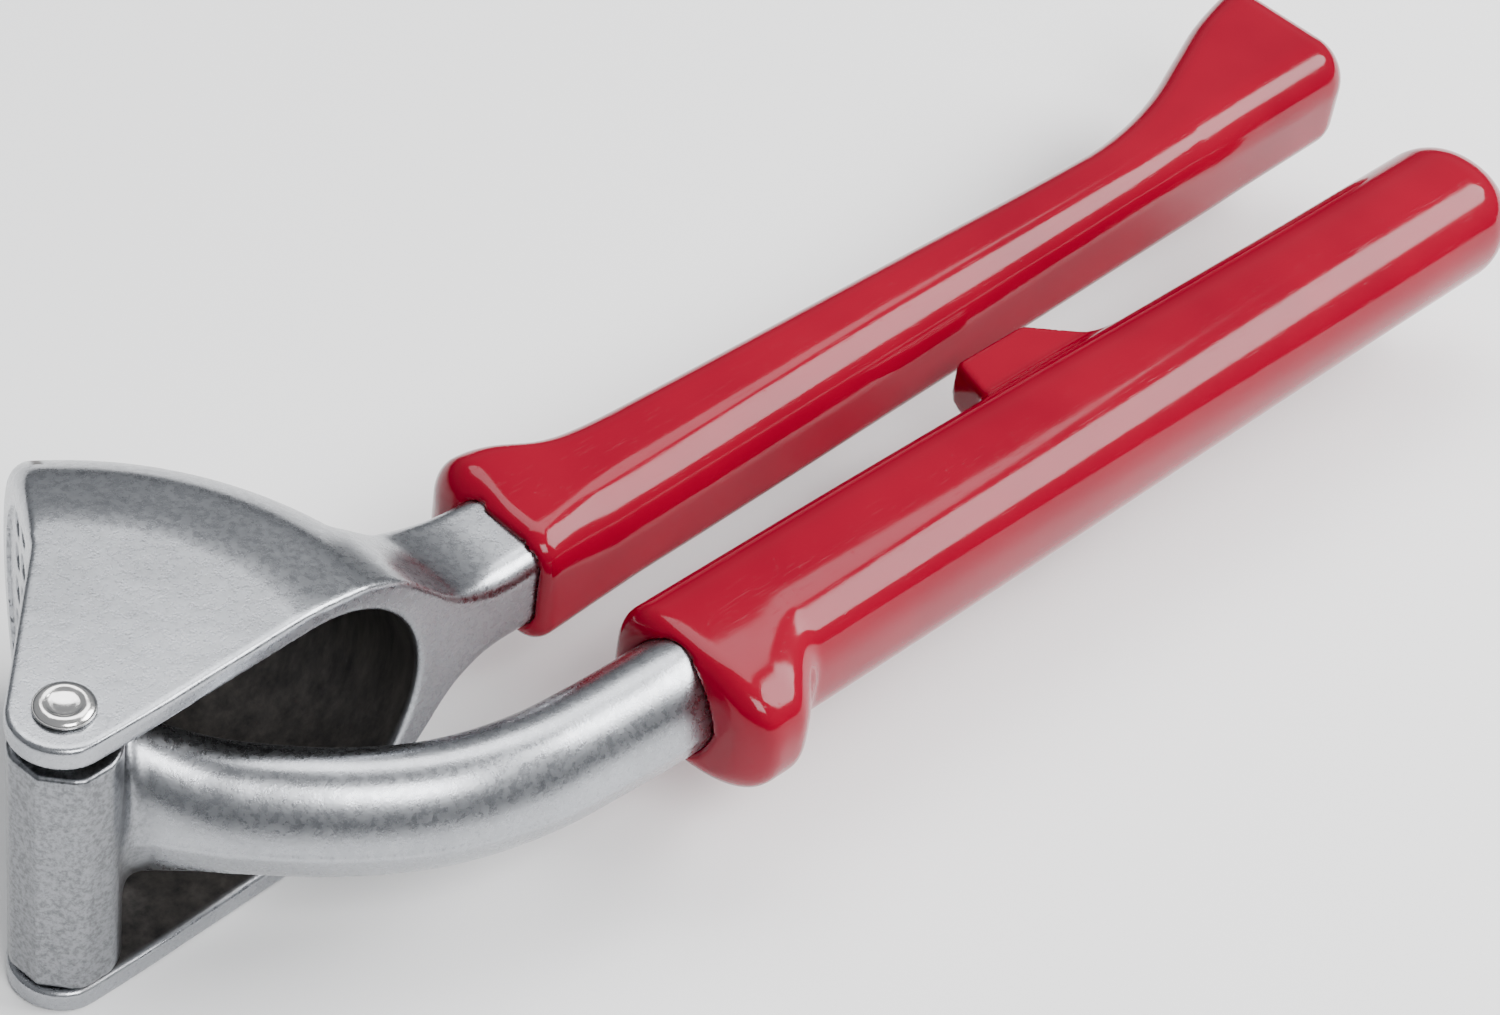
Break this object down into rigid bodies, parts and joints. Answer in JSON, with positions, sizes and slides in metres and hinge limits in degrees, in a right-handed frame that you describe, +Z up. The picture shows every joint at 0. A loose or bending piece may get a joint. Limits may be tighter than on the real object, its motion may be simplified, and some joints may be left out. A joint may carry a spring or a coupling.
{
  "type": "garlic press",
  "caption": "Hinged garlic press with a cast D-shaped chamber and perforated end, a swinging plunger arm and glossy red moulded grips.",
  "frame": {"origin": "centre of the box's base, with the press lying on its side", "axes": "+X along the lower grip from the hinge to the tip, +Y from the lower grip to the upper grip, +Z up along the rivet"},
  "size_m": [0.177, 0.0634, 0.0329],
  "materials": {
    "cast_aluminium": "tumbled satin casting",
    "polished_steel": "polished",
    "red_plastic": "high gloss"
  },
  "bodies": {
    "chamber_side": {"chamber_arm": "cast_aluminium", "upper_grip": "red_plastic", "hinge_rivet": "polished_steel"},
    "press_side": {"press_arm": "cast_aluminium", "lower_grip": "red_plastic"}
  },
  "joints": [
    {"name": "hinge", "type": "hinge", "parent": "chamber_side", "child": "press_side", "pos_m": [-0.0837, -0.00129, 0.01595], "axis": [0, 0, -1], "range_deg": [-1.5, 115]}
  ]
}
